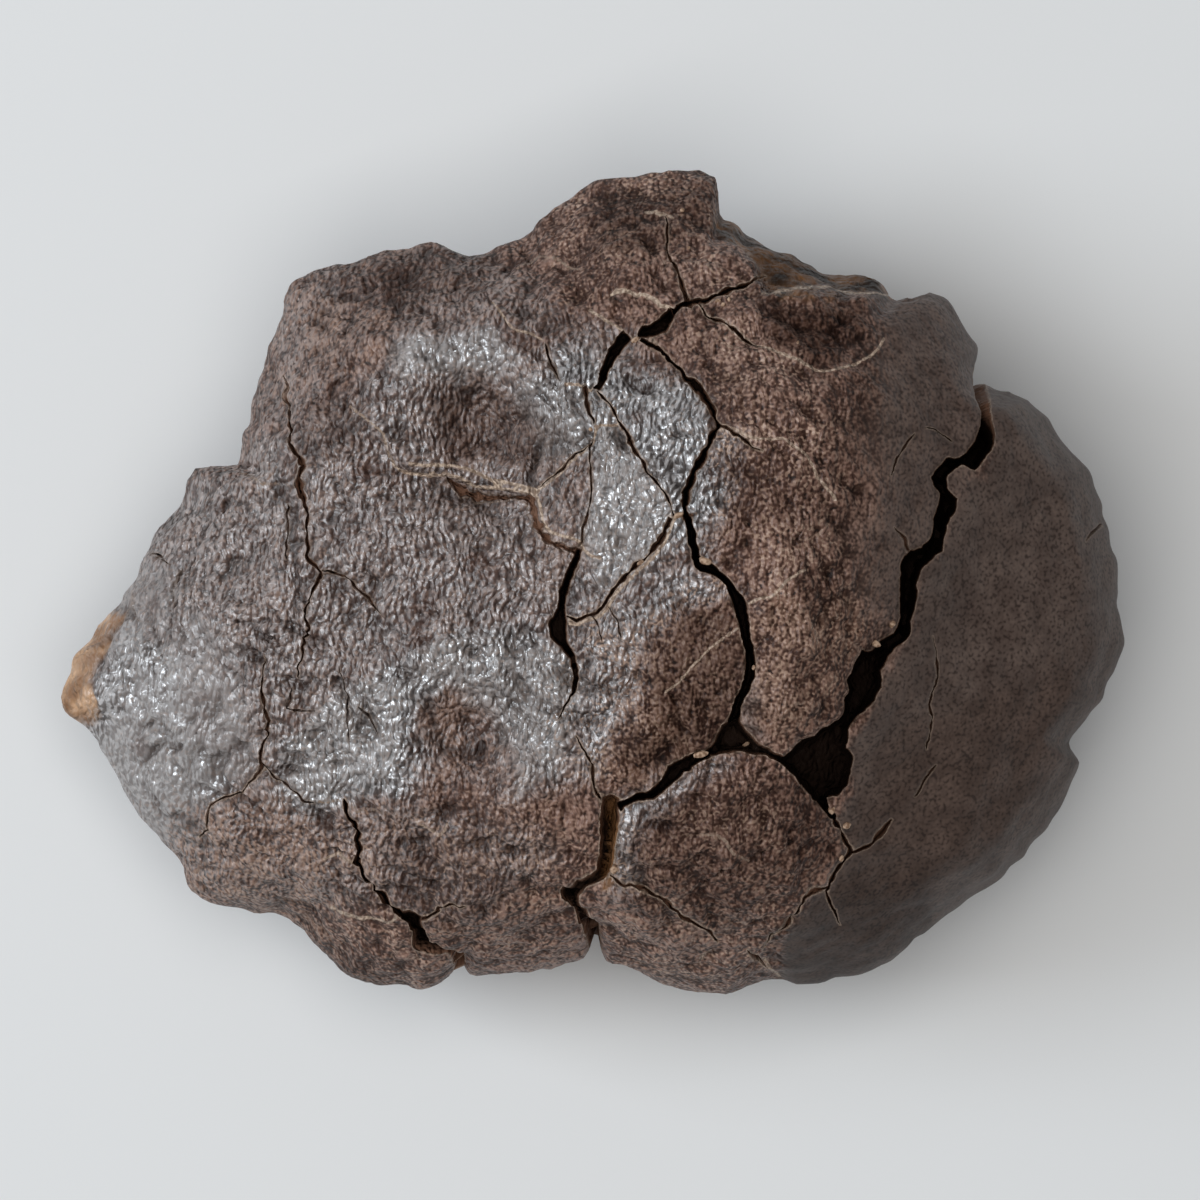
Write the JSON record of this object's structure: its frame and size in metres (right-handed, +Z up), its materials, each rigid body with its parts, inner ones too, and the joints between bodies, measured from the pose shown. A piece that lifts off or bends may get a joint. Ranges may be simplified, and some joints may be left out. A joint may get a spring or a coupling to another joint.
{
  "type": "chondrite meteorite",
  "caption": "Flattened stony meteorite with thumbprint hollows and deep branching cracks across its domed upper side, resting on a small flat spot.",
  "frame": {"origin": "on the resting surface, below the middle of the stone's bounding box", "axes": "+X along the stone's length, from its broken tip to the slab behind the widest crack; +Y across it; +Z up, out of the cracked side"},
  "size_m": [0.1063, 0.0822, 0.0508],
  "materials": {
    "weathered_crust": "satin dark brown-grey crust with tan lime in the cracks"
  },
  "bodies": {
    "root": {"stone": "weathered_crust"}
  },
  "joints": []
}
